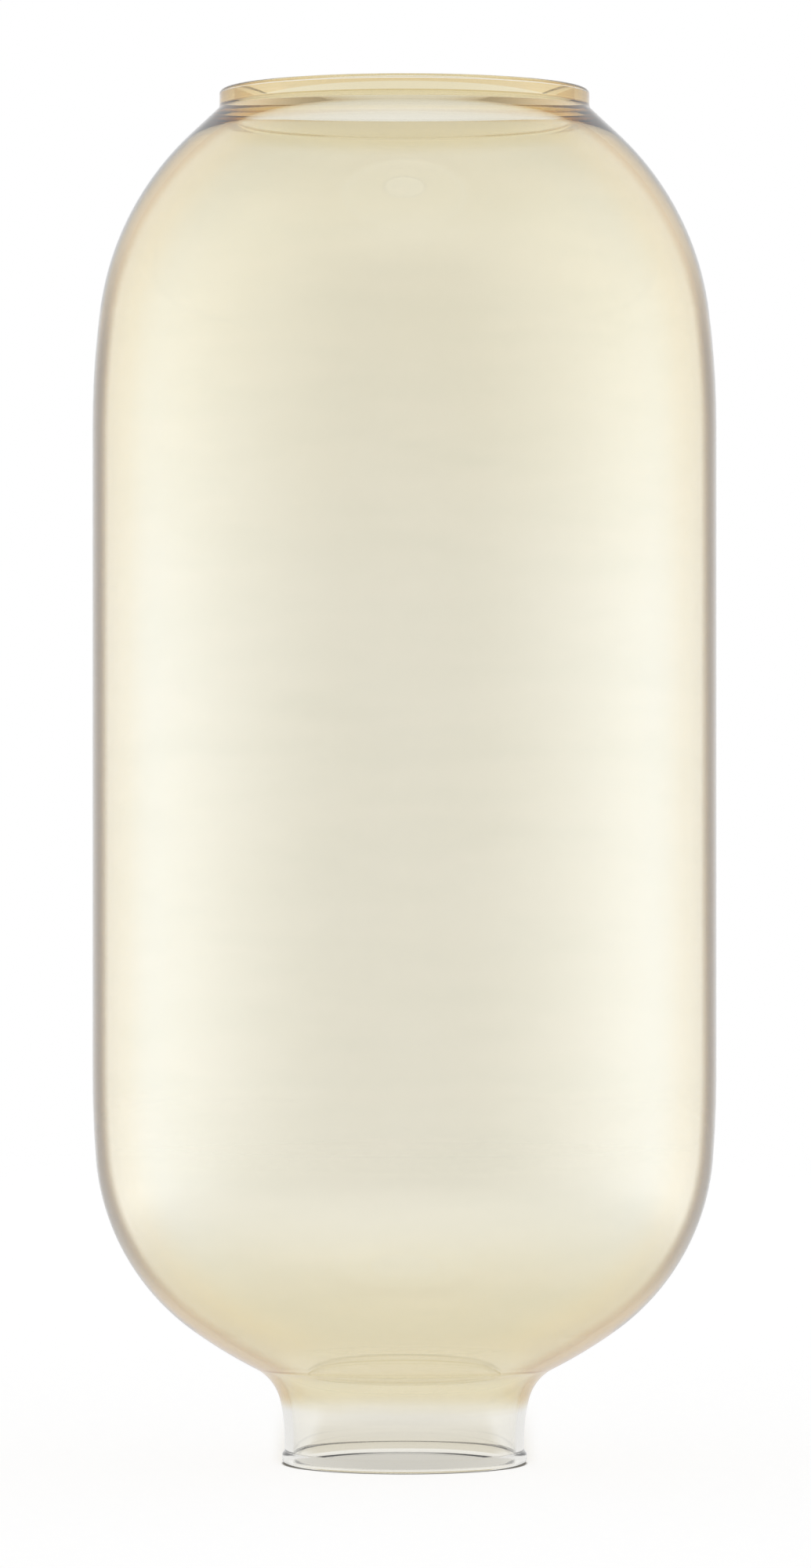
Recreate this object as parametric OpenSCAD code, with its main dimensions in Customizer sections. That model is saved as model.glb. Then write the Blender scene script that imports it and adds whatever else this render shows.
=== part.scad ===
// Blown-glass lamp shade: a pill-shaped body on a lipped fitter neck, open at both ends,
// with a tinted coating over its inner surface down to the neck.
// The origin is the centre of the lip's lower face, and +Z runs up the axis to the mouth.
// Every outline is drawn in the half plane (radius, height) and turned about the axis.

/* [Overall] */
// Height from the lip's lower face to the mouth rim
total_h = 320.8; // [300:0.2:360]
// Outer diameter of the barrel
body_d = 145.8; // [142:0.2:152]
// Wall thickness of the barrel
wall = 1.65; // [1.2:0.05:2.2]

/* [Fitter neck] */
// Outer diameter of the lip, which the fitter's screws hold
lip_d = 57.2; // [56.8:0.1:58]
// Height of the lip, where it meets the neck
lip_h = 3.1; // [2.8:0.1:4]
// Rounding under the lip
lip_lower_r = 1.2; // [0.8:0.1:1.4]
// Rounding over the lip
lip_upper_r = 1.6; // [1.2:0.1:2]
// Rounding of the bore's lower edge
lip_inner_r = 0.5; // [0.3:0.1:0.7]
// Outer diameter of the neck
neck_d = 56; // [55.4:0.1:56.4]
// Bore at the lip; above it, the bore flares with the outside
bore_d = 52; // [51:0.2:52.6]

/* [Bowl] */
// Height at which the neck starts to flare
flare_z = 5.8; // [5:0.1:8]
// Radius of the flare up the neck
flare_r = 38; // [34:0.5:44]
// Angle that the flare turns through
flare_a = 14; // [11:0.5:17]
// Radius of the fillet between the neck and the bowl
fillet_r = 11.4; // [9:0.1:13]
// Outer radius of the bowl's floor
floor_r = 110; // [90:2:130]
// Lean from upright at which the floor meets the bowl's side
floor_a = 54; // [50:0.5:57]
// Outer radius of the bowl's side
bowl_r = 54.6; // [52:0.2:57]
// Radius that eases the bowl into the barrel
bowl_ease_r = 255; // [200:5:300]
// Lean from upright at which the easing meets the bowl's side
bowl_ease_a = 4.5; // [3:0.5:6]

/* [Dome] */
// Outer radius of the dome
dome_r = 68; // [65:0.2:70]
// Radius that eases the barrel into the dome
dome_ease_r = 210; // [170:5:250]
// Lean from upright at which the easing meets the dome
dome_ease_a = 7.5; // [5:0.5:10]
// Lean from upright of the straight shoulder under the collar
shoulder_a = 47; // [45:0.5:50]
// Inner radius of the dome
dome_inner_r = 66; // [65:0.2:67]
// Height of the inner corner under the throat, below the rim
throat_h = 6.4; // [5.8:0.1:7]

/* [Collar] */
// Outer diameter of the collar
collar_d = 86.5; // [84:0.5:89]
// Height of the collar
collar_h = 4.2; // [3.6:0.1:5]
// Rounding of the rim's outer edge
rim_outer_r = 1; // [0.5:0.1:1.2]
// Rounding of the rim's inner edge
rim_inner_r = 0.9; // [0.5:0.1:1.2]
// Radius in the crease under the collar
crease_r = 1.7; // [1:0.1:2.2]
// Diameter of the throat, before coating
throat_d = 79.6; // [78:0.2:80.4]
// Rounding of the throat's lower corner
throat_corner_r = 1; // [0.6:0.1:1.5]

/* [Coating] */
// Thickness of the coating's solid
coat_t = 0.2; // [0.15:0.05:0.4]

/* [Hidden] */
$fn = 144;
// Largest turn between two points of an arc, and the same on a rounding
arc_step = 2;
edge_step = 15;

body_r = body_d / 2;
inner_r = body_r - wall;
lip_r = lip_d / 2;
neck_r = neck_d / 2;
bore_r = bore_d / 2;
collar_r = collar_d / 2;
throat_r = throat_d / 2;

// The unit direction at an angle from the radius line
function aim(a) = [cos(a), sin(a)];

// The points of an arc, without its first point where it carries on from another arc
function arc(centre, radius, a0, a1, step = arc_step, first = 0) =
    let (n = ceil(abs(a1 - a0) / step))
    [for (i = [first:n]) centre + radius * aim(a0 + (a1 - a0) * i / n)];

// A list from its last entry to its first
function reversed(list) = [for (i = [len(list) - 1:-1:0]) list[i]];

// A list without its first entry
function rest(list) = [for (i = [1:len(list) - 1]) list[i]];

// How far in from the barrel an easing arc leaves the centre of the arc that it meets
function eased_centre_r(barrel_r, ease_r, ease_a, main_r) =
    barrel_r - ease_r + (ease_r - main_r) * cos(ease_a);

// The rounding over the lip, which runs into the neck at lip_h
lip_upper_a = acos((neck_r - lip_r + lip_upper_r) / lip_upper_r);
lip_upper_c = [lip_r - lip_upper_r, lip_h - lip_upper_r * sin(lip_upper_a)];

// The neck's flare and the fillet under the bowl turn about these, inside and outside alike
flare_c = [neck_r + flare_r, flare_z];
fillet_c = flare_c + (flare_r - fillet_r) * aim(180 - flare_a);

// The bowl, from the flare's end to the barrel: four arcs, each tangent to the last. The outside has no
// walls. The inside lies neck_wall within it at the neck and side_wall at the barrel, moved in by t.
function bowl(neck_wall, side_wall, t) =
    let (
        fillet = fillet_r + neck_wall,
        base = floor_r - neck_wall,
        side = bowl_r - side_wall,
        easing = bowl_ease_r - side_wall,
        base_x = eased_centre_r(body_r - side_wall, easing, bowl_ease_a, side) + (side - base) * cos(floor_a),
        fillet_a = acos((fillet_c[0] - base_x) / (base + fillet)),
        base_c = fillet_c + (base + fillet) * aim(180 - fillet_a),
        side_c = base_c + (base - side) * aim(-floor_a),
        easing_c = side_c + (side - easing) * aim(-bowl_ease_a))
    concat(
        arc(fillet_c, fillet + t, 180 - flare_a, 180 - fillet_a),
        arc(base_c, base - t, -fillet_a, -floor_a, first = 1),
        arc(side_c, side - t, -floor_a, -bowl_ease_a, first = 1),
        arc(easing_c, easing - t, -bowl_ease_a, 0, first = 1));

// Outer dome: two arcs and a straight shoulder that runs into the collar's crease
crease_z = total_h - collar_h;
dome_centre_r = eased_centre_r(body_r, dome_ease_r, dome_ease_a, dome_r);
shoulder_drop = (dome_centre_r + dome_r * cos(shoulder_a) - collar_r) / tan(shoulder_a);
dome_c = [dome_centre_r, crease_z - shoulder_drop - dome_r * sin(shoulder_a)];
dome_ease_c = dome_c + (dome_r - dome_ease_r) * aim(dome_ease_a);
crease_c = [collar_r + crease_r, crease_z + crease_r * tan(shoulder_a / 2)];

// Inner dome: the easing, the dome, and the corner under the throat
dome_inner_centre_r = eased_centre_r(inner_r, dome_ease_r, dome_ease_a, dome_inner_r);
throat_a = acos((throat_r + throat_corner_r - dome_inner_centre_r) / (dome_inner_r + throat_corner_r));
throat_c = [throat_r + throat_corner_r, total_h - throat_h + throat_corner_r];
dome_inner_c = throat_c - (dome_inner_r + throat_corner_r) * aim(throat_a);
dome_inner_ease_c = dome_inner_c + (dome_inner_r - dome_ease_r) * aim(dome_ease_a);

// The outside, from the lip's lower face up to the rim
function outside() = concat(
    arc([lip_r - lip_lower_r, lip_lower_r], lip_lower_r, -90, 0, edge_step),
    arc(lip_upper_c, lip_upper_r, 0, lip_upper_a, edge_step),
    arc(flare_c, flare_r, 180, 180 - flare_a),
    rest(bowl(0, 0, 0)),
    arc(dome_ease_c, dome_ease_r, 0, dome_ease_a),
    arc(dome_c, dome_r, dome_ease_a, shoulder_a, first = 1),
    arc(crease_c, crease_r, 180 + shoulder_a, 180, edge_step),
    arc([collar_r - rim_outer_r, total_h - rim_outer_r], rim_outer_r, 0, 90, edge_step));

// The inner surface over the bore, moved towards the axis by t, up to height z1 in the throat
function inside(t, z1) = concat(
    bowl(neck_r - bore_r, wall, t),
    arc(dome_inner_ease_c, dome_ease_r - t, 0, dome_ease_a),
    arc(dome_inner_c, dome_inner_r - t, dome_ease_a, throat_a, first = 1),
    arc(throat_c, throat_corner_r + t, 180 + throat_a, 180, edge_step, first = 1),
    [[throat_r - t, z1]]);

// The bore below that, and the rim's inner rounding, each from the flat edge to the wall
bore_edge = concat(
    arc([bore_r + lip_inner_r, lip_inner_r], lip_inner_r, 270, 180, edge_step),
    arc(flare_c, flare_r + neck_r - bore_r, 180, 180 - flare_a));
rim_edge = arc([throat_r + rim_inner_r, total_h - rim_inner_r], rim_inner_r, 90, 180, edge_step);

// The glass: one blown piece. Its wall's first and last points belong to the bore and the rim.
module glass_shade() {
    wall_points = rest(reversed(rest(inside(0, total_h - rim_inner_r))));
    color([0.86, 0.88, 0.88, 0.5])
        rotate_extrude()
            polygon(concat(outside(), rim_edge, wall_points, reversed(bore_edge)));
}

// The tint: a thin layer on the inside, from the throat down to the bore's flare
module tint_coating() {
    top_z = total_h - rim_inner_r;
    color([0.88, 0.8, 0.55, 0.6])
        rotate_extrude()
            polygon(concat(inside(0, top_z), reversed(inside(coat_t, top_z))));
}

glass_shade();
tint_coating();
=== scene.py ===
import math

import bmesh
import bpy
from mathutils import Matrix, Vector


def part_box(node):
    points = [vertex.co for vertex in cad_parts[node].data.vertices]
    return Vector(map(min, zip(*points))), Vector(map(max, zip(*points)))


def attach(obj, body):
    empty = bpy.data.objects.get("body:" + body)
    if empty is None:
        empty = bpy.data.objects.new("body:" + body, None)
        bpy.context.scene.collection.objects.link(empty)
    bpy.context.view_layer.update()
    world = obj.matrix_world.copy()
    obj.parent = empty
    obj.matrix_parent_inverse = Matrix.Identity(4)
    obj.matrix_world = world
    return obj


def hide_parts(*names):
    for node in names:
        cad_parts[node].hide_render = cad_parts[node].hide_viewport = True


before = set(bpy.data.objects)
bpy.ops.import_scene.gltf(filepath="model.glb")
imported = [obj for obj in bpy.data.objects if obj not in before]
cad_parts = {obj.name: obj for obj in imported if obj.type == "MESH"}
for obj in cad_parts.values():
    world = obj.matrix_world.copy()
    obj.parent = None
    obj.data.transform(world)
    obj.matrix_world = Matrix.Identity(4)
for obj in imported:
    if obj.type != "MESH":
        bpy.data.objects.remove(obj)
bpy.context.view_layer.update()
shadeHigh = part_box("glass_shade")[1]
print("frame loaded")


# Small node helpers, shared by the shapes, the materials and the light

white = (1, 1, 1)


def addNode(tree, kind, place, **settings):
    node = tree.nodes.new(kind)
    node.location = (place[0] * 190, place[1] * 190)
    for name, value in settings.items():
        setattr(node, name, value)
    return node


def feed(tree, socket, value):
    # A socket is linked, and anything else is set as the input's own value
    if isinstance(value, bpy.types.NodeSocket):
        tree.links.new(value, socket)
    else:
        socket.default_value = value


def calc(tree, place, operation, a, b=None, clamp=False):
    node = addNode(tree, "ShaderNodeMath", place, operation=operation, use_clamp=clamp)
    feed(tree, node.inputs[0], a)
    if b is not None:
        feed(tree, node.inputs[1], b)
    return node.outputs[0]


def ease(tree, place, value, start, end, low=0.0, high=1.0):
    # Runs smoothly from low to high as the value goes from start to end
    node = addNode(tree, "ShaderNodeMapRange", place, interpolation_type="SMOOTHSTEP")
    for name, item in (("Value", value), ("From Min", start), ("From Max", end),
                       ("To Min", low), ("To Max", high)):
        feed(tree, node.inputs[name], item)
    return node.outputs["Result"]


def blendColours(tree, place, share, a, b, mode="MIX"):
    node = addNode(tree, "ShaderNodeMix", place, data_type="RGBA", blend_type=mode)
    node.clamp_factor = True
    feed(tree, node.inputs[0], share)
    for socket, colour in ((node.inputs[6], a), (node.inputs[7], b)):
        feed(tree, socket, colour if isinstance(colour, bpy.types.NodeSocket) else (*colour, 1))
    return node.outputs[2]


def blendNumbers(tree, place, share, a, b):
    node = addNode(tree, "ShaderNodeMix", place, data_type="FLOAT")
    for socket, item in ((node.inputs[0], share), (node.inputs[2], a), (node.inputs[3], b)):
        feed(tree, socket, item)
    return node.outputs[0]


def blendShaders(tree, place, share, a, b):
    node = addNode(tree, "ShaderNodeMixShader", place)
    for socket, item in zip(node.inputs, (share, a, b)):
        feed(tree, socket, item)
    return node.outputs[0]


def colourRamp(tree, place, value, stops):
    node = addNode(tree, "ShaderNodeValToRGB", place)
    ramp = node.color_ramp
    while len(ramp.elements) < len(stops):
        ramp.elements.new(0.5)
    for element, (position, colour) in zip(ramp.elements, stops):
        element.position = position
        element.color = (*colour, 1.0)
    feed(tree, node.inputs["Fac"], value)
    return node.outputs["Color"]


def newMaterial(name):
    material = bpy.data.materials.new(name)
    material.use_nodes = True
    material.node_tree.nodes.clear()
    return material, material.node_tree


def endMaterial(tree, place, shader):
    end = addNode(tree, "ShaderNodeOutputMaterial", place)
    tree.links.new(shader, end.inputs["Surface"])


# The shade's outline, drawn in the half plane (radius, height) in metres, angles in degrees

mm = 0.001

shade = {
    "height": shadeHigh.z,
    "bodyRadius": shadeHigh.x,
    "wall": 1.65 * mm,
    "lipRadius": 28.6 * mm, "lipHeight": 3.1 * mm, "lipLower": 1.2 * mm, "lipUpper": 1.6 * mm,
    "lipInner": 0.5 * mm, "neckRadius": 28 * mm, "boreRadius": 26 * mm,
    "flareHeight": 5.8 * mm, "flare": 38 * mm, "flareAngle": 14,
    "fillet": 11.4 * mm, "floor": 110 * mm, "floorAngle": 54,
    "bowl": 54.6 * mm, "bowlEase": 255 * mm, "bowlEaseAngle": 4.5,
    "dome": 68 * mm, "domeInner": 66 * mm, "domeEase": 210 * mm, "domeEaseAngle": 7.5,
    "shoulderAngle": 47, "throatDrop": 6.4 * mm,
    "collarRadius": 43.25 * mm, "collarHeight": 4.2 * mm, "crease": 1.7 * mm,
    "rimOuter": 1 * mm, "rimInner": 0.9 * mm, "throatRadius": 39.8 * mm, "throatCorner": 1 * mm,
    "arcStep": 1.5,           # degrees between the points of a long arc
    "edgeStep": 10,           # the same on a small rounding
    "flareStep": 1, "filletStep": 3,
    "straightStep": 5 * mm,   # longest straight piece of the outline
    "creaseGap": 0.12 * mm,   # how far a crease's shading spreads
    "segments": 272,          # facets round the axis
    "rippleHeight": 0.03 * mm, "rippleSize": 1 / (62 * mm), "rippleSeed": 7.0,
    "rippleFoot": 0.035, "rippleHead": 0.3, "rippleFade": 0.03,   # where it starts, ends and dies away
}


def aim(angle):
    return Vector((math.cos(math.radians(angle)), math.sin(math.radians(angle))))


def arcCos(value):
    return math.degrees(math.acos(value))


def arc(centre, radius, start, end, step=shade["arcStep"]):
    count = max(1, math.ceil(abs(end - start) / step))
    return [Vector(centre) + radius * aim(start + (end - start) * i / count) for i in range(count + 1)]


def easedCentre(barrelRadius, easeRadius, easeAngle, mainRadius):
    return barrelRadius - easeRadius + (easeRadius - mainRadius) * math.cos(math.radians(easeAngle))


def joined(arcs):
    # Joins the runs of points, drops those that repeat, and splits the long straight pieces
    points = []
    for point in (p for run in arcs for p in run):
        if not points or (point - points[-1]).length > 1e-7:
            points.append(point)
    split = [points[0]]
    for here, after in zip(points, points[1:]):
        count = max(1, math.ceil((after - here).length / shade["straightStep"]))
        split += [here.lerp(after, (i + 1) / count) for i in range(count)]
    return split


def bowlRuns(s, neckWall, sideWall, offset):
    # The flare and the bowl up to the barrel. The outside has no walls. The inside lies within it by
    # the neck's wall at the foot and the side's wall at the barrel, moved in by the offset.
    fillet = s["fillet"] + neckWall
    base = s["floor"] - neckWall
    side = s["bowl"] - sideWall
    easing = s["bowlEase"] - sideWall
    baseX = easedCentre(s["bodyRadius"] - sideWall, easing, s["bowlEaseAngle"], side)
    baseX += (side - base) * aim(s["floorAngle"])[0]
    flareCentre = Vector((s["neckRadius"] + s["flare"], s["flareHeight"]))
    filletCentre = flareCentre + (s["flare"] - s["fillet"]) * aim(180 - s["flareAngle"])
    filletAngle = arcCos((filletCentre[0] - baseX) / (base + fillet))
    baseCentre = filletCentre + (base + fillet) * aim(180 - filletAngle)
    sideCentre = baseCentre + (base - side) * aim(-s["floorAngle"])
    easingCentre = sideCentre + (side - easing) * aim(-s["bowlEaseAngle"])
    return [
        arc(flareCentre, s["flare"] + neckWall + offset, 180, 180 - s["flareAngle"], s["flareStep"]),
        arc(filletCentre, fillet + offset, 180 - s["flareAngle"], 180 - filletAngle, s["filletStep"]),
        arc(baseCentre, base - offset, -filletAngle, -s["floorAngle"]),
        arc(sideCentre, side - offset, -s["floorAngle"], -s["bowlEaseAngle"]),
        arc(easingCentre, easing - offset, -s["bowlEaseAngle"], 0),
    ]


def outsideWall(s):
    # From the lip's lower face up to the rim
    upperAngle = arcCos((s["neckRadius"] - s["lipRadius"] + s["lipUpper"]) / s["lipUpper"])
    upperCentre = (s["lipRadius"] - s["lipUpper"],
                   s["lipHeight"] - s["lipUpper"] * math.sin(math.radians(upperAngle)))
    creaseHeight = s["height"] - s["collarHeight"]
    shoulder = s["shoulderAngle"]
    domeX = easedCentre(s["bodyRadius"], s["domeEase"], s["domeEaseAngle"], s["dome"])
    drop = (domeX + s["dome"] * aim(shoulder)[0] - s["collarRadius"]) / math.tan(math.radians(shoulder))
    domeCentre = Vector((domeX, creaseHeight - drop - s["dome"] * aim(shoulder)[1]))
    domeEaseCentre = domeCentre + (s["dome"] - s["domeEase"]) * aim(s["domeEaseAngle"])
    creaseCentre = (s["collarRadius"] + s["crease"],
                    creaseHeight + s["crease"] * math.tan(math.radians(shoulder / 2)))
    neckFoot = Vector((s["neckRadius"], s["lipHeight"] + s["creaseGap"]))
    small = s["edgeStep"]
    return joined([
        arc((s["lipRadius"] - s["lipLower"], s["lipLower"]), s["lipLower"], -90, 0, small),
        arc(upperCentre, s["lipUpper"], 0, upperAngle, small),
        [neckFoot],
        *bowlRuns(s, 0, 0, 0),
        arc(domeEaseCentre, s["domeEase"], 0, s["domeEaseAngle"]),
        arc(domeCentre, s["dome"], s["domeEaseAngle"], shoulder),
        arc(creaseCentre, s["crease"], 180 + shoulder, 180, small),
        arc((s["collarRadius"] - s["rimOuter"], s["height"] - s["rimOuter"]), s["rimOuter"], 0, 90, small),
    ])


def insideWall(s, offset, foot, head):
    # The inner surface moved towards the axis by the offset, from the foot's height to the head's
    dome, throat = s["domeInner"], s["throatCorner"]
    domeX = easedCentre(s["bodyRadius"] - s["wall"], s["domeEase"], s["domeEaseAngle"], dome)
    throatAngle = arcCos((s["throatRadius"] + throat - domeX) / (dome + throat))
    throatCentre = Vector((s["throatRadius"] + throat, s["height"] - s["throatDrop"] + throat))
    domeCentre = throatCentre - (dome + throat) * aim(throatAngle)
    domeEaseCentre = domeCentre + (dome - s["domeEase"]) * aim(s["domeEaseAngle"])
    points = joined([
        *bowlRuns(s, s["neckRadius"] - s["boreRadius"], s["wall"], offset),
        arc(domeEaseCentre, s["domeEase"] - offset, 0, s["domeEaseAngle"]),
        arc(domeCentre, dome - offset, s["domeEaseAngle"], throatAngle),
        arc(throatCentre, throat + offset, 180 + throatAngle, 180, s["edgeStep"]),
        [Vector((s["throatRadius"] - offset, head))],
    ])
    return [p for p in points if p[1] >= foot]


# Turned pieces: one Geometry Nodes tree turns a closed outline about the axis and gives its inner
# wall the faint ripple that blowing leaves. Outline points carry an "inner" share for it.

guideRadius = 0.05


def buildTurningTree():
    tree = bpy.data.node_groups.new("turnedWall", "GeometryNodeTree")
    face = tree.interface
    face.new_socket("Outline", in_out="INPUT", socket_type="NodeSocketGeometry")
    face.new_socket("Segments", in_out="INPUT", socket_type="NodeSocketInt")
    for name in ("Guide Radius", "Ripple Height", "Ripple Size", "Ripple Seed",
                 "Ripple Foot", "Ripple Head", "Ripple Fade"):
        face.new_socket(name, in_out="INPUT", socket_type="NodeSocketFloat")
    face.new_socket("Finish", in_out="INPUT", socket_type="NodeSocketMaterial")
    face.new_socket("Piece", in_out="OUTPUT", socket_type="NodeSocketGeometry")
    given = addNode(tree, "NodeGroupInput", (0, 0))
    result = addNode(tree, "NodeGroupOutput", (12, 0))
    link = tree.links.new

    circle = addNode(tree, "GeometryNodeCurvePrimitiveCircle", (1, 1))
    link(given.outputs["Segments"], circle.inputs["Resolution"])
    link(given.outputs["Guide Radius"], circle.inputs["Radius"])
    outline = addNode(tree, "GeometryNodeMeshToCurve", (1, 0))
    link(given.outputs["Outline"], outline.inputs["Mesh"])
    turned = addNode(tree, "GeometryNodeCurveToMesh", (2, 0))
    link(circle.outputs["Curve"], turned.inputs["Curve"])
    link(outline.outputs["Curve"], turned.inputs["Profile Curve"])

    # The ripple's pattern is read on a drum of one radius, so every layer of the wall moves alike
    position = addNode(tree, "GeometryNodeInputPosition", (1, -2))
    parts = addNode(tree, "ShaderNodeSeparateXYZ", (2, -2))
    link(position.outputs["Position"], parts.inputs["Vector"])
    flat = addNode(tree, "ShaderNodeCombineXYZ", (3, -2))
    link(parts.outputs["X"], flat.inputs["X"])
    link(parts.outputs["Y"], flat.inputs["Y"])
    outward = addNode(tree, "ShaderNodeVectorMath", (4, -2), operation="NORMALIZE")
    link(flat.outputs["Vector"], outward.inputs[0])
    drum = addNode(tree, "ShaderNodeVectorMath", (5, -2), operation="SCALE")
    link(outward.outputs["Vector"], drum.inputs[0])
    link(given.outputs["Guide Radius"], drum.inputs["Scale"])
    onDrum = addNode(tree, "ShaderNodeSeparateXYZ", (6, -2))
    link(drum.outputs["Vector"], onDrum.inputs["Vector"])
    spot = addNode(tree, "ShaderNodeCombineXYZ", (7, -2))
    link(onDrum.outputs["X"], spot.inputs["X"])
    link(onDrum.outputs["Y"], spot.inputs["Y"])
    link(parts.outputs["Z"], spot.inputs["Z"])
    noise = addNode(tree, "ShaderNodeTexNoise", (8, -2), noise_dimensions="4D")
    link(spot.outputs["Vector"], noise.inputs["Vector"])
    link(given.outputs["Ripple Size"], noise.inputs["Scale"])
    link(given.outputs["Ripple Seed"], noise.inputs["W"])
    noise.inputs["Detail"].default_value = 1.0

    inner = addNode(tree, "GeometryNodeInputNamedAttribute", (5, -3), data_type="FLOAT")
    inner.inputs["Name"].default_value = "inner"
    centred = calc(tree, (9, -2), "SUBTRACT", noise.outputs[0], 0.5)
    sized = calc(tree, (9, -3), "MULTIPLY", centred, given.outputs["Ripple Height"])
    shared = calc(tree, (9, -4), "MULTIPLY", sized, inner.outputs["Attribute"])
    foot, head, fade = (given.outputs["Ripple " + name] for name in ("Foot", "Head", "Fade"))
    fadeIn = ease(tree, (6, -4), parts.outputs["Z"], foot, calc(tree, (5, -4), "ADD", foot, fade))
    fadeOut = ease(tree, (6, -5), parts.outputs["Z"], head, calc(tree, (5, -5), "SUBTRACT", head, fade))
    faded = calc(tree, (10, -4), "MULTIPLY", shared, calc(tree, (7, -4), "MULTIPLY", fadeIn, fadeOut))
    push = addNode(tree, "ShaderNodeVectorMath", (10, -2), operation="SCALE")
    link(outward.outputs["Vector"], push.inputs[0])
    link(faded, push.inputs["Scale"])

    moved = addNode(tree, "GeometryNodeSetPosition", (8, 0))
    link(turned.outputs["Mesh"], moved.inputs["Geometry"])
    link(push.outputs["Vector"], moved.inputs["Offset"])
    smooth = addNode(tree, "GeometryNodeSetShadeSmooth", (9, 0))
    link(moved.outputs["Geometry"], smooth.inputs["Geometry"])
    real = addNode(tree, "GeometryNodeRealizeInstances", (10, 0))
    link(smooth.outputs["Geometry"], real.inputs["Geometry"])
    finish = addNode(tree, "GeometryNodeSetMaterial", (11, 0))
    link(real.outputs["Geometry"], finish.inputs["Geometry"])
    link(given.outputs["Finish"], finish.inputs["Material"])
    link(finish.outputs["Geometry"], result.inputs["Piece"])
    return tree


def turnPiece(name, outline, marks, tree, material, s):
    # The circle's frame carries the outline's second coordinate downwards, so the height is negated
    # and the outline runs the other way round, which leaves every face pointing out of the wall
    mesh = bpy.data.meshes.new(name + "Outline")
    points = [(p[0] - guideRadius, -p[1], 0) for p in reversed(outline)]
    count = len(points)
    mesh.from_pydata(points, [(i, (i + 1) % count) for i in range(count)], [])
    for mark, shares in marks.items():
        attribute = mesh.attributes.new(mark, "FLOAT", "POINT")
        attribute.data.foreach_set("value", list(reversed(shares)))
    piece = bpy.data.objects.new(name, mesh)
    bpy.context.scene.collection.objects.link(piece)
    modifier = piece.modifiers.new("turn", "NODES")
    modifier.node_group = tree
    settings = {
        "Segments": s["segments"], "Guide Radius": guideRadius, "Ripple Height": s["rippleHeight"],
        "Ripple Size": s["rippleSize"], "Ripple Seed": s["rippleSeed"],
        "Ripple Foot": s["rippleFoot"], "Ripple Head": s["rippleHead"], "Ripple Fade": s["rippleFade"],
        "Finish": material,
    }
    for item in tree.interface.items_tree:
        if item.in_out == "INPUT" and item.name in settings:
            modifier[item.identifier] = settings[item.name]
    depsgraph = bpy.context.evaluated_depsgraph_get()
    plain = bpy.data.meshes.new_from_object(piece.evaluated_get(depsgraph), depsgraph=depsgraph)
    piece.modifiers.remove(modifier)
    piece.data = plain
    plain.name = name
    bpy.data.meshes.remove(mesh)
    work = bmesh.new()
    work.from_mesh(plain)
    volume = work.calc_volume(signed=True)
    openEdges = sum(1 for edge in work.edges if not edge.is_manifold)
    work.free()
    if volume <= 0 or openEdges:
        raise ValueError(f"{name}: volume {volume}, {openEdges} open edges")
    print(f"{name}: {len(plain.polygons)} faces, {volume * 1e6:.1f} cm3")
    return piece


# Clear glass

clearGlass = {
    "colour": (0.99, 0.992, 0.986),
    "streakColour": (0.975, 0.98, 0.972),
    "streakScale": 26.0, "streakSqueeze": 5, "streakDetail": 3.0, "streakStart": 0.4, "streakEnd": 0.7,
    # Near the foot the glass is greyed as painted shade, besides keeping a trace of the tint
    "neckTintAndShade": (0.93, 0.918, 0.875),   # the clear neck keeps a trace of the tint
    "neckStart": 22 * mm, "neckEnd": 14 * mm,
    "shadowColour": (0.93, 0.93, 0.92),   # what the soft light keeps as it passes through
    "ior": 1.5,
}


def buildGlass(look):
    material, tree = newMaterial("clearBlownGlass")
    link = tree.links.new
    place = addNode(tree, "ShaderNodeTexCoord", (0, 0))
    # The cords of a blown wall run round the axis, so the pattern is squeezed along its height
    squeeze = addNode(tree, "ShaderNodeMapping", (1, 0))
    squeeze.inputs["Scale"].default_value = (1, 1, look["streakSqueeze"])
    link(place.outputs["Object"], squeeze.inputs["Vector"])
    cords = addNode(tree, "ShaderNodeTexNoise", (2, 0))
    cords.inputs["Scale"].default_value = look["streakScale"]
    cords.inputs["Detail"].default_value = look["streakDetail"]
    link(squeeze.outputs["Vector"], cords.inputs["Vector"])
    streak = ease(tree, (3, 1), cords.outputs[0], look["streakStart"], look["streakEnd"])
    colour = blendColours(tree, (3, 0), streak, look["colour"], look["streakColour"])
    parts = addNode(tree, "ShaderNodeSeparateXYZ", (1, 2))
    link(place.outputs["Object"], parts.inputs["Vector"])
    # Towards the foot the colour turns to the neck's: a trace of the tint and painted shade
    neck = ease(tree, (2, 2), parts.outputs["Z"], look["neckStart"], look["neckEnd"])
    colour = blendColours(tree, (3, 2), neck, colour, look["neckTintAndShade"])
    glass = addNode(tree, "ShaderNodeBsdfPrincipled", (4, 0))
    link(colour, glass.inputs["Base Color"])
    glass.inputs["Roughness"].default_value = 0.0
    glass.inputs["IOR"].default_value = look["ior"]
    glass.inputs["Transmission Weight"].default_value = 1.0
    # Light that the floor gathers passes straight through, so the glass casts almost no shadow
    through = addNode(tree, "ShaderNodeBsdfTransparent", (4, -3))
    through.inputs["Color"].default_value = (*look["shadowColour"], 1)
    path = addNode(tree, "ShaderNodeLightPath", (4, 2))
    passing = calc(tree, (5, 2), "MAXIMUM", path.outputs["Is Shadow Ray"], path.outputs["Is Diffuse Ray"])
    endMaterial(tree, (7, 0), blendShaders(tree, (6, 0), passing, glass.outputs[0], through.outputs[0]))
    return material


# Amber coating: a film over the inner wall that lets amber through and throws back a cool shine

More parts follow.
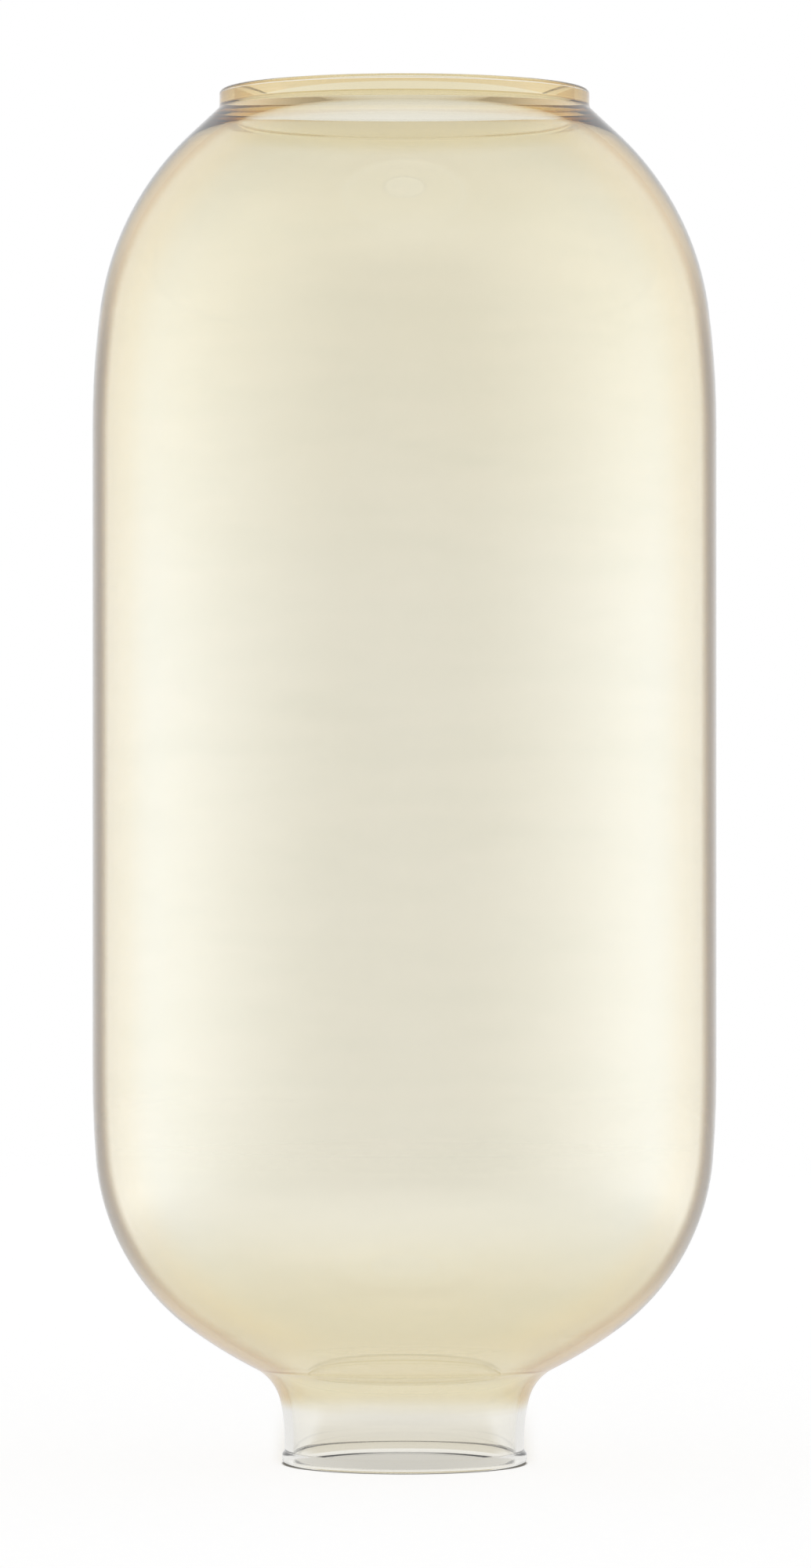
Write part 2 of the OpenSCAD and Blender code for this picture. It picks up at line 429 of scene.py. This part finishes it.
amberTint = {
    "passed": (0.988, 0.974, 0.93),   # what one sheet of the film lets through where it is thinnest
    "most": 4.0, "rampSteps": 6,      # deepest film, against the thinnest
    "bowlTop": 62 * mm, "bowlFull": 30 * mm, "bowlDepth": 0.95,
    "neckTop": 24 * mm, "neckDepth": 0.2,
    "collarStart": 10 * mm, "collarFull": 5 * mm, "collarPipedLightDepth": 2.5,   # down from the rim
    "domeFoot": 0.18, "domeHead": 0.3, "domeDepth": 0.4,
    "foot": 12.5 * mm, "fadeEnd": 17.5 * mm, "edgeWander": 2.2 * mm,
    "cloudScale": 38.0, "cloudDetail": 4.0, "cloudDepth": 0.14,
    "slant": 2.2,                     # how much deeper the film of the bowl and dome looks edge on
    "shine": (0.84, 0.9, 0.98), "limbShine": (0.93, 0.86, 0.72), "limbStart": 0.4, "limbEnd": 0.62,
    "shineShare": 0.045, "shineEdge": 0.42, "shineCurve": 2.0,
    "grazeStart": 0.235, "grazeEnd": 0.258,   # facing between which light kept in the wall dulls
    "grazePassed": (0.56, 0.45, 0.26),
    "endPassed": (0.93, 0.84, 0.68),          # the same in the bowl and the dome
    "grazeLow": 36 * mm, "grazeHigh": 60 * mm, "grazeTop": 290 * mm, "grazeFade": 40 * mm,
    "intoGlass": 0.03 * mm, "intoHollow": 0.15 * mm,   # where its two sheets lie, from the inner wall
    "headGap": 0.9 * mm,
}


def buildTint(look, s):
    material, tree = newMaterial("amberFilm")
    link = tree.links.new
    place = addNode(tree, "ShaderNodeTexCoord", (0, 0))
    parts = addNode(tree, "ShaderNodeSeparateXYZ", (1, 0))
    link(place.outputs["Object"], parts.inputs["Vector"])
    height = parts.outputs["Z"]
    cloud = addNode(tree, "ShaderNodeTexNoise", (1, -2))
    cloud.inputs["Scale"].default_value = look["cloudScale"]
    cloud.inputs["Detail"].default_value = look["cloudDetail"]
    link(place.outputs["Object"], cloud.inputs["Vector"])
    drift = calc(tree, (2, -2), "SUBTRACT", cloud.outputs[0], 0.5)

    # The film is deeper in the bowl and by the collar, and it fades out down the neck. By the collar the
    # extra depth is painted light: the amber of light piped round inside the thick rim
    bowl = ease(tree, (3, 2), height, look["bowlTop"], look["bowlFull"], 0.0, look["bowlDepth"])
    neck = ease(tree, (3, 1), height, look["neckTop"], look["fadeEnd"], 0.0, look["neckDepth"])
    collar = ease(tree, (3, 0), height, s["height"] - look["collarStart"],
                  s["height"] - look["collarFull"], 0.0, look["collarPipedLightDepth"])
    dome = ease(tree, (3, 4), height, look["domeFoot"], look["domeHead"], 0.0, look["domeDepth"])
    # Its ends look deeper still where they are seen at a slant, so their colour shifts with the view
    facing = addNode(tree, "ShaderNodeLayerWeight", (2, 5))
    facing.inputs["Blend"].default_value = 0.5
    slant = calc(tree, (3, 5), "MULTIPLY", facing.outputs["Facing"], look["slant"])
    slant = calc(tree, (4, 5), "ADD", slant, 1.0)
    ends = calc(tree, (5, 4), "MULTIPLY", calc(tree, (4, 4), "ADD", bowl, dome), slant)
    plain = calc(tree, (5, 3), "ADD", calc(tree, (4, 1), "SUBTRACT", 1.0, neck), collar)
    depth = calc(tree, (6, 3), "ADD", ends, plain)
    clouded = calc(tree, (3, -1), "MULTIPLY", drift, look["cloudDepth"])
    clouded = calc(tree, (4, -1), "ADD", clouded, 1.0)
    ragged = calc(tree, (3, -4), "MULTIPLY", drift, look["edgeWander"])
    ragged = calc(tree, (3, -3), "ADD", height, ragged)
    fade = ease(tree, (4, -3), ragged, look["foot"], look["fadeEnd"])
    film = calc(tree, (7, 0), "MULTIPLY", calc(tree, (6, 0), "MULTIPLY", depth, clouded), fade)
    share = calc(tree, (8, 0), "DIVIDE", film, look["most"], clamp=True)
    steps = look["rampSteps"]
    stops = [(i / steps, tuple(c ** (look["most"] * i / steps) for c in look["passed"]))
             for i in range(steps + 1)]
    passed = colourRamp(tree, (9, 0), share, stops)

    # Painted shade at the limb: light that runs along inside the wall meets the film again and again, and
    # dulls, so the film is darkened for rays that meet it at a graze
    graze = ease(tree, (7, -3), facing.outputs["Facing"], look["grazeStart"], look["grazeEnd"])
    inGlass = addNode(tree, "ShaderNodeAttribute", (7, -5), attribute_name="inGlass")
    kept = calc(tree, (8, -4), "MULTIPLY", graze, inGlass.outputs["Fac"])
    barrelFoot = ease(tree, (7, -7), height, look["grazeLow"], look["grazeHigh"])
    barrelHead = ease(tree, (7, -9), height, look["grazeTop"], look["grazeTop"] - look["grazeFade"])
    barrel = calc(tree, (8, -6), "MULTIPLY", barrelFoot, barrelHead)
    dulled = blendColours(tree, (9, -5), barrel, look["endPassed"], look["grazePassed"])
    grazed = blendColours(tree, (10, -3), calc(tree, (9, -3), "MULTIPLY", kept, fade), white, dulled)
    tint = blendColours(tree, (11, 0), 1.0, passed, grazed, "MULTIPLY")
    through = addNode(tree, "ShaderNodeBsdfTransparent", (12, 0))
    link(tint, through.inputs["Color"])

    # It throws back a little light, cool in the middle and warm towards its edges
    limb = ease(tree, (10, -7), facing.outputs["Facing"], look["limbStart"], look["limbEnd"])
    shine = addNode(tree, "ShaderNodeBsdfAnisotropic", (12, -7))
    link(blendColours(tree, (11, -7), limb, look["shine"], look["limbShine"]), shine.inputs["Color"])
    shine.inputs["Roughness"].default_value = 0.0
    edgeShine = calc(tree, (9, -9), "POWER", facing.outputs["Facing"], look["shineCurve"])
    edgeShine = calc(tree, (10, -9), "MULTIPLY", edgeShine, look["shineEdge"])
    shineShare = calc(tree, (11, -9), "ADD", edgeShine, look["shineShare"])
    shineShare = calc(tree, (12, -5), "MULTIPLY", shineShare, fade)
    endMaterial(tree, (14, 0), blendShaders(tree, (13, 0), shineShare, through.outputs[0], shine.outputs[0]))
    return material


glassMaterial = buildGlass(clearGlass)
tintMaterial = buildTint(amberTint, shade)
print("materials ready")


# The two pieces, each from one closed outline

turningTree = buildTurningTree()
outerWall = outsideWall(shade)
innerWall = insideWall(shade, 0, 0, shade["height"] - shade["rimInner"])
rimEdge = arc((shade["throatRadius"] + shade["rimInner"], shade["height"] - shade["rimInner"]),
              shade["rimInner"], 90, 180, shade["edgeStep"])
boreEdge = arc((shade["boreRadius"] + shade["lipInner"], shade["lipInner"]),
               shade["lipInner"], 180, 270, shade["edgeStep"])
glassRuns = [(outerWall, 0.0), (rimEdge[:-1], 0.0), (innerWall[::-1], 1.0), (boreEdge, 0.0)]
glassOutline = [p for run, share in glassRuns for p in run]
glassShares = [share for run, share in glassRuns for p in run]
glassShade = turnPiece("glassShade", glassOutline, {"inner": glassShares}, turningTree, glassMaterial, shade)

tintHead = shade["height"] - amberTint["headGap"]
tintBack = insideWall(shade, -amberTint["intoGlass"], amberTint["foot"], tintHead)
tintFace = insideWall(shade, amberTint["intoHollow"], amberTint["foot"], tintHead)
tintMarks = {
    "inner": [1.0] * (len(tintBack) + len(tintFace)),
    "inGlass": [1.0] * len(tintBack) + [0.0] * len(tintFace),
}
tintCoating = turnPiece("tintCoating", tintBack + tintFace[::-1], tintMarks, turningTree, tintMaterial, shade)
print("pieces turned")


# The studio: soft lamps to both sides and a bright wall behind, with the camera's own side dimmer.
# Only mirrored rays see it. What is seen straight through the glass is a plain backdrop, alike all
# round, and the camera sees white.

studio = {
    "front": 0.35, "back": 0.95, "frontEnd": 15, "backStart": 110,       # degrees from the camera's side
    "gap": 0.1, "gapStart": 146, "gapMiddle": 156, "gapEnd": 165,       # a dimmer strip before the back
    "lamp": 0.4, "lampStart": 25, "lampPeak": 100, "lampEnd": 150,
    "lampLow": -38, "lampMiddle": -8, "lampHigh": 33,                   # heights of the lamps, in degrees
    "overhead": 0.5, "overheadFrom": 25, "overheadTo": 65,
    "backdrop": 1.0, "backdropTop": 0.2,
}

table = {
    "radius": 1.5, "fadeFrom": 1.1, "fadeTo": 0.98, "facets": 96,       # fadeTo is a share of the radius
    "near": 0.85, "nearStart": 0.1, "nearEnd": 0.3, "eyeHeight": 0.06,  # brightness in a mirrored ray
    "glow": 0.83, "colour": (0.3, 0.3, 0.3),
    "speckle": 0.015, "speckleScale": 220.0, "speckleStart": 0.3, "speckleEnd": 0.7,
    # Shade inside the lip, and under it
    "ringShade": (0.7, 0.69, 0.66), "ringInner": 25.5 * mm, "ringOuter": 28.4 * mm,
    "footShade": (0.2, 0.19, 0.17), "footInner": 26.8 * mm, "footOuter": 28.2 * mm, "footBlur": 0.8 * mm,
    # Shade behind the neck: its half width and the share of that in full shade, and how it widens
    "backShade": (0.8, 0.77, 0.69), "backHalf": 32 * mm, "backCore": 0.75, "backSpread": 0.57,
    "backFrom": -0.01, "backFull": 0.01, "backFade": 0.02, "backEnd": 0.2,
}


def roomLight(tree, look, turn, lift):
    # The brightness of the wall and the lamps, by degrees from the camera's side and above level
    wall = ease(tree, (4, 2), turn, look["frontEnd"], look["backStart"], look["front"], look["back"])
    gapIn = ease(tree, (4, 3), turn, look["gapStart"], look["gapMiddle"], 0.0, look["gap"])
    gapOut = ease(tree, (4, 4), turn, look["gapEnd"], look["gapMiddle"])
    gap = calc(tree, (5, 3), "MULTIPLY", gapIn, gapOut)
    lampIn = ease(tree, (4, 1), turn, look["lampStart"], look["lampPeak"])
    lampOut = ease(tree, (4, 0), turn, look["lampEnd"], look["lampPeak"])
    lampUp = ease(tree, (4, -1), lift, look["lampLow"], look["lampMiddle"])
    lampDown = ease(tree, (4, -2), lift, look["lampHigh"], look["lampMiddle"])
    across = calc(tree, (5, 1), "MULTIPLY", lampIn, lampOut)
    along = calc(tree, (5, -1), "MULTIPLY", lampUp, lampDown)
    lamp = calc(tree, (6, 1), "MULTIPLY", across, along)
    lamp = calc(tree, (6, 0), "MULTIPLY", lamp, look["lamp"])
    return calc(tree, (7, 0), "ADD", calc(tree, (6, 2), "SUBTRACT", wall, gap), lamp)


def mirroredRay(tree, place, path):
    # 1 for a ray that has been mirrored at least once
    return calc(tree, place, "GREATER_THAN", path.outputs["Glossy Depth"], 0.5)


def buildFloor(t, look):
    mesh = bpy.data.meshes.new("paleFloor")
    disc = bmesh.new()
    bmesh.ops.create_circle(disc, cap_ends=True, segments=t["facets"], radius=t["radius"])
    disc.to_mesh(mesh)
    disc.free()
    floor = bpy.data.objects.new("paleFloor", mesh)
    bpy.context.scene.collection.objects.link(floor)
    material, tree = newMaterial("paleTable")
    link = tree.links.new
    place = addNode(tree, "ShaderNodeTexCoord", (-2, 0))
    parts = addNode(tree, "ShaderNodeSeparateXYZ", (-1, 0))
    link(place.outputs["Object"], parts.inputs["Vector"])
    across, along = parts.outputs["X"], parts.outputs["Y"]
    span = addNode(tree, "ShaderNodeVectorMath", (-1, -2), operation="LENGTH")
    link(place.outputs["Object"], span.inputs[0])
    reach = span.outputs["Value"]

    # What a mirrored ray sees is painted light, with the floor glowing: near the foot the floor, and further
    # out the room
    turn = calc(tree, (1, 3), "MULTIPLY", calc(tree, (0, 3), "DIVIDE", along, reach), -1.0)
    turn = calc(tree, (3, 3), "DEGREES", calc(tree, (2, 3), "ARCCOSINE", turn))
    drop = calc(tree, (2, -3), "ARCTANGENT", calc(tree, (1, -3), "DIVIDE", -t["eyeHeight"], reach))
    drop = calc(tree, (3, -3), "DEGREES", drop)
    near = ease(tree, (8, 2), reach, t["nearEnd"], t["nearStart"])
    strength = blendNumbers(tree, (9, 0), near, roomLight(tree, look, turn, drop), t["near"])
    mirroredGlow = addNode(tree, "ShaderNodeEmission", (10, 0))
    link(strength, mirroredGlow.inputs["Strength"])

    grain = addNode(tree, "ShaderNodeTexNoise", (0, 6))
    grain.inputs["Scale"].default_value = t["speckleScale"]
    link(place.outputs["Object"], grain.inputs["Vector"])
    speck = ease(tree, (1, 6), grain.outputs[0], t["speckleStart"], t["speckleEnd"])
    paper = blendColours(tree, (2, 6), speck, t["colour"], [c - t["speckle"] for c in t["colour"]])

    # The soft shadow is painted: inside the lip, under it, and behind the neck, as the main camera
    # would see it. The part behind the neck shows as a strip from other sides.
    spread = calc(tree, (1, 14), "ADD", calc(tree, (0, 14), "MULTIPLY", along, t["backSpread"]), 1.0)
    side = calc(tree, (2, 14), "DIVIDE", calc(tree, (1, 15), "ABSOLUTE", across), spread)
    width = ease(tree, (3, 14), side, t["backHalf"], t["backHalf"] * t["backCore"])
    length = ease(tree, (3, 12), along, t["backEnd"], t["backFade"])
    start = ease(tree, (4, 12), along, t["backFrom"], t["backFull"])
    behind = calc(tree, (4, 14), "MULTIPLY", width, length)
    behind = calc(tree, (5, 14), "MULTIPLY", behind, start)
    ring = ease(tree, (5, 12), reach, t["ringOuter"], t["ringInner"])
    footOut = ease(tree, (4, 10), reach, t["footOuter"] + t["footBlur"], t["footOuter"])
    footIn = ease(tree, (4, 8), reach, t["footInner"] - t["footBlur"], t["footInner"])
    foot = calc(tree, (5, 10), "MULTIPLY", footOut, footIn)
    shadow = blendColours(tree, (6, 14), behind, white, t["backShade"])
    shadow = blendColours(tree, (7, 12), ring, shadow, t["ringShade"])
    shadow = blendColours(tree, (8, 10), foot, shadow, t["footShade"])
    matt = addNode(tree, "ShaderNodeBsdfDiffuse", (10, 8))
    link(blendColours(tree, (9, 8), 1.0, paper, shadow, "MULTIPLY"), matt.inputs["Color"])
    # The painted shadow under the lip shows in this mirrored glow too
    link(blendColours(tree, (9, 3), foot, white, t["footShade"]), mirroredGlow.inputs["Color"])
    glow = addNode(tree, "ShaderNodeEmission", (10, 6))
    link(shadow, glow.inputs["Color"])
    glow.inputs["Strength"].default_value = t["glow"]
    lit = addNode(tree, "ShaderNodeAddShader", (11, 6))
    link(matt.outputs[0], lit.inputs[0])
    link(glow.outputs[0], lit.inputs[1])
    path = addNode(tree, "ShaderNodeLightPath", (10, 4))
    mirrored = mirroredRay(tree, (11, 4), path)
    top = blendShaders(tree, (12, 0), mirrored, lit.outputs[0], mirroredGlow.outputs[0])
    clear = addNode(tree, "ShaderNodeBsdfTransparent", (12, -2))
    rim = ease(tree, (12, 2), reach, t["fadeFrom"], t["radius"] * t["fadeTo"])
    endMaterial(tree, (14, 0), blendShaders(tree, (13, 0), rim, top, clear.outputs[0]))
    mesh.materials.append(material)
    return floor


def buildLight(look):
    world = bpy.data.worlds.new("softStudio")
    bpy.context.scene.world = world
    world.use_nodes = True
    tree = world.node_tree
    tree.nodes.clear()
    link = tree.links.new
    place = addNode(tree, "ShaderNodeTexCoord", (0, 0))
    parts = addNode(tree, "ShaderNodeSeparateXYZ", (1, 0))
    link(place.outputs["Generated"], parts.inputs["Vector"])
    turn = calc(tree, (2, 1), "ARCCOSINE", calc(tree, (1, 1), "MULTIPLY", parts.outputs["Y"], -1.0))
    turn = calc(tree, (3, 1), "DEGREES", turn)
    lift = calc(tree, (3, -1), "DEGREES", calc(tree, (2, -1), "ARCSINE", parts.outputs["Z"]))
    high = ease(tree, (7, -2), lift, look["overheadFrom"], look["overheadTo"])
    room = blendNumbers(tree, (8, 0), high, roomLight(tree, look, turn, lift), look["overhead"])
    plain = ease(tree, (8, -2), lift, look["overheadFrom"], look["overheadTo"],
                 look["backdrop"], look["backdropTop"])
    path = addNode(tree, "ShaderNodeLightPath", (7, 3))
    seen = blendNumbers(tree, (9, 0), mirroredRay(tree, (8, 3), path), plain, room)
    strength = blendNumbers(tree, (10, 0), path.outputs["Is Camera Ray"], seen, 1.0)
    background = addNode(tree, "ShaderNodeBackground", (11, 0))
    background.inputs["Color"].default_value = (*white, 1)
    link(strength, background.inputs["Strength"])
    end = addNode(tree, "ShaderNodeOutputWorld", (12, 0))
    link(background.outputs[0], end.inputs["Surface"])


floor = buildFloor(table, studio)
buildLight(studio)
scene = bpy.context.scene
scene.view_settings.view_transform = "Standard"
scene.cycles.max_bounces = 32
scene.cycles.glossy_bounces = 16
scene.cycles.transmission_bounces = 32
scene.cycles.transparent_max_bounces = 48
print("studio lit")


# Camera: level with the middle of the barrel

view = {
    "side": 0.00024, "distance": 1.7405, "height": 0.1597, "aimHeight": 0.1587,
    "lens": 171.0, "sensor": 36.0, "clipStart": 0.05,
}


def buildCamera(v):
    data = bpy.data.cameras.new("camera")
    data.lens = v["lens"]
    data.sensor_width = v["sensor"]
    data.clip_start = v["clipStart"]
    camera = bpy.data.objects.new("camera", data)
    bpy.context.scene.collection.objects.link(camera)
    camera.location = (v["side"], -v["distance"], v["height"])
    target = Vector((v["side"], 0, v["aimHeight"]))
    camera.rotation_euler = (target - camera.location).to_track_quat("-Z", "Y").to_euler()
    bpy.context.scene.camera = camera


buildCamera(view)
print("camera placed")

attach(glassShade, "root")
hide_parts("glass_shade")
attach(tintCoating, "root")
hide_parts("tint_coating")

print("scene finished")
